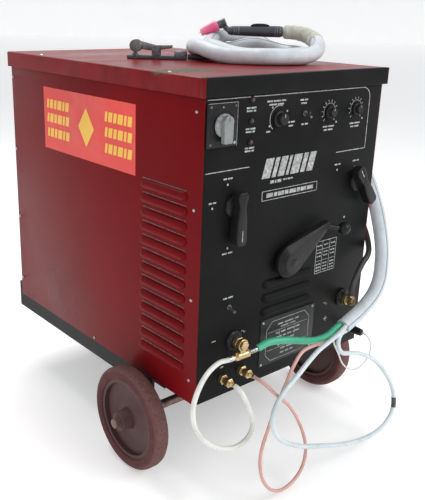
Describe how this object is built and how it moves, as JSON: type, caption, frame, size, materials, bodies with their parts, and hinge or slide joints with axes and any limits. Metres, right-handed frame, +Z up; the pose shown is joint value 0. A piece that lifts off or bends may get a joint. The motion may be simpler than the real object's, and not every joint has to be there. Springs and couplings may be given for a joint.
{
  "type": "tig welding power source",
  "caption": "Wheeled sheet-metal arc welding power source with a front control panel, large side wheels, a rear castor and a torch hose set coiled on its lid.",
  "frame": {"origin": "on the floor, under the middle of the machine's own box without its hoses", "axes": "+Z up, -Y towards the operator at the control panel, +X to the right of a person who faces the panel"},
  "size_m": [0.745, 1.0024, 1.0166],
  "materials": {
    "red_paint": "gloss enamel",
    "black_paint": "satin enamel",
    "black_plastic": "moulded",
    "grey_plastic": "moulded",
    "lamp_lens": "clear",
    "steel": "bright",
    "alloy": "extruded",
    "brass": "machined",
    "core_steel": "varnished stack",
    "winding": "varnished copper winding",
    "wheel_iron": "painted",
    "tyre_rubber": "worn solid rubber",
    "green_hose": "smooth",
    "clear_hose": "smooth",
    "pink_hose": "smooth",
    "blue_hose": "smooth",
    "cable_rubber": "matt",
    "sheath_vinyl": "vinyl",
    "canvas": "woven",
    "pink_ceramic": "glazed"
  },
  "bodies": {
    "cabinet": {"base_tray": "black_paint", "front_panel": "black_paint", "front_hood": "black_paint", "left_panel": "red_paint", "right_panel": "red_paint", "rear_panel": "red_paint", "lid": "red_paint", "chassis_frame": "black_paint", "axle": "steel", "castor_plate": "steel", "main_switch_plate": "black_plastic", "gas_lamp": "lamp_lens", "power_lamp": "lamp_lens", "fault_lamp": "lamp_lens", "left_terminal_flange": "black_plastic", "left_terminal_stud": "brass", "torch_lug": "brass", "right_terminal_flange": "black_plastic", "right_terminal_stud": "brass", "gas_connector": "brass", "water_connector": "brass", "control_plug": "black_plastic", "transformer_core": "core_steel", "transformer_winding": "winding", "rectifier_stack": "alloy", "fan_motor": "black_paint", "mains_gland": "black_plastic", "gas_inlet": "brass", "power_hose": "green_hose", "water_hose": "clear_hose", "gas_hose": "pink_hose", "return_water_hose": "blue_hose", "trigger_wire": "clear_hose", "return_cable_lug": "brass", "torch_coil": "sheath_vinyl", "torch_sheath": "sheath_vinyl", "return_cable": "cable_rubber", "torch_sleeve": "canvas", "torch_body": "black_plastic", "torch_nozzle": "pink_ceramic", "clamp_base": "black_plastic"},
    "left_road_wheel": {"left_wheel": "wheel_iron", "left_tyre": "tyre_rubber"},
    "right_road_wheel": {"right_wheel": "wheel_iron", "right_tyre": "tyre_rubber"},
    "castor_yoke": {"castor_fork": "steel"},
    "castor_roller": {"castor_wheel": "tyre_rubber"},
    "main_switch": {"main_switch_knob": "grey_plastic"},
    "current_control": {"current_knob": "black_plastic"},
    "slope_control": {"slope_time_knob": "black_plastic"},
    "gas_control": {"gas_time_knob": "black_plastic"},
    "process_control": {"process_selector": "black_plastic"},
    "polarity_control": {"polarity_selector": "black_plastic"},
    "range_control": {"range_lever": "black_plastic", "range_lever_ball": "black_plastic"},
    "mode_switch": {"mode_toggle": "steel"},
    "remote_switch": {"remote_toggle": "steel"},
    "fan": {"fan_blades": "grey_plastic"},
    "torch_switch": {"torch_trigger": "black_plastic"},
    "clamp_grip": {"clamp_jaw": "steel"}
  },
  "joints": [
    {"name": "left_wheel_roll", "type": "hinge", "parent": "cabinet", "child": "left_road_wheel", "pos_m": [-0.323, -0.223, 0.124], "axis": [1, 0, 0], "continuous": true},
    {"name": "right_wheel_roll", "type": "hinge", "parent": "cabinet", "child": "right_road_wheel", "pos_m": [0.323, -0.223, 0.124], "axis": [1, 0, 0], "continuous": true},
    {"name": "castor_swivel", "type": "hinge", "parent": "cabinet", "child": "castor_yoke", "pos_m": [0, 0.295, 0.158], "axis": [0, 0, 1], "continuous": true},
    {"name": "castor_roll", "type": "hinge", "parent": "castor_yoke", "child": "castor_roller", "pos_m": [0, 0.329, 0.062], "axis": [1, 0, 0], "continuous": true},
    {"name": "main_switch_turn", "type": "hinge", "parent": "cabinet", "child": "main_switch", "pos_m": [-0.2345, -0.395, 0.8265], "axis": [0, -1, 0], "range_deg": [0, 90]},
    {"name": "current_knob_turn", "type": "hinge", "parent": "cabinet", "child": "current_control", "pos_m": [-0.071, -0.395, 0.826], "axis": [0, -1, 0], "range_deg": [-135, 135]},
    {"name": "slope_knob_turn", "type": "hinge", "parent": "cabinet", "child": "slope_control", "pos_m": [0.092, -0.395, 0.828], "axis": [0, -1, 0], "range_deg": [-135, 135]},
    {"name": "gas_knob_turn", "type": "hinge", "parent": "cabinet", "child": "gas_control", "pos_m": [0.186, -0.395, 0.829], "axis": [0, -1, 0], "range_deg": [-135, 135]},
    {"name": "process_selector_turn", "type": "hinge", "parent": "cabinet", "child": "process_control", "pos_m": [-0.191, -0.395, 0.657], "axis": [0, -1, 0], "range_deg": [-90, 180]},
    {"name": "polarity_selector_turn", "type": "hinge", "parent": "cabinet", "child": "polarity_control", "pos_m": [0.215, -0.395, 0.654], "axis": [0, -1, 0], "range_deg": [-45, 0]},
    {"name": "range_lever_swing", "type": "hinge", "parent": "cabinet", "child": "range_control", "pos_m": [-0.024, -0.395, 0.506], "axis": [0, -1, 0], "range_deg": [-60, 0]},
    {"name": "mode_toggle_tip", "type": "hinge", "parent": "cabinet", "child": "mode_switch", "pos_m": [0.008, -0.395, 0.831], "axis": [1, 0, 0], "range_deg": [-32, 0]},
    {"name": "remote_toggle_tip", "type": "hinge", "parent": "cabinet", "child": "remote_switch", "pos_m": [-0.19, -0.395, 0.431], "axis": [1, 0, 0], "range_deg": [-32, 0]},
    {"name": "fan_spin", "type": "hinge", "parent": "cabinet", "child": "fan", "pos_m": [0, 0.295, 0.738], "axis": [0, 1, 0], "continuous": true},
    {"name": "torch_trigger_press", "type": "slide", "parent": "cabinet", "child": "torch_switch", "axis": [0, 0, -1], "range_m": [0, 0.003], "stiffness_N_per_m": 400},
    {"name": "clamp_jaw_open", "type": "hinge", "parent": "cabinet", "child": "clamp_grip", "pos_m": [-0.0788, 0.01417, 0.9443], "axis": [0.7034, 0.7108, 0], "range_deg": [0, 12], "stiffness_Nm_per_rad": 6, "springref_deg": -2.86}
  ]
}
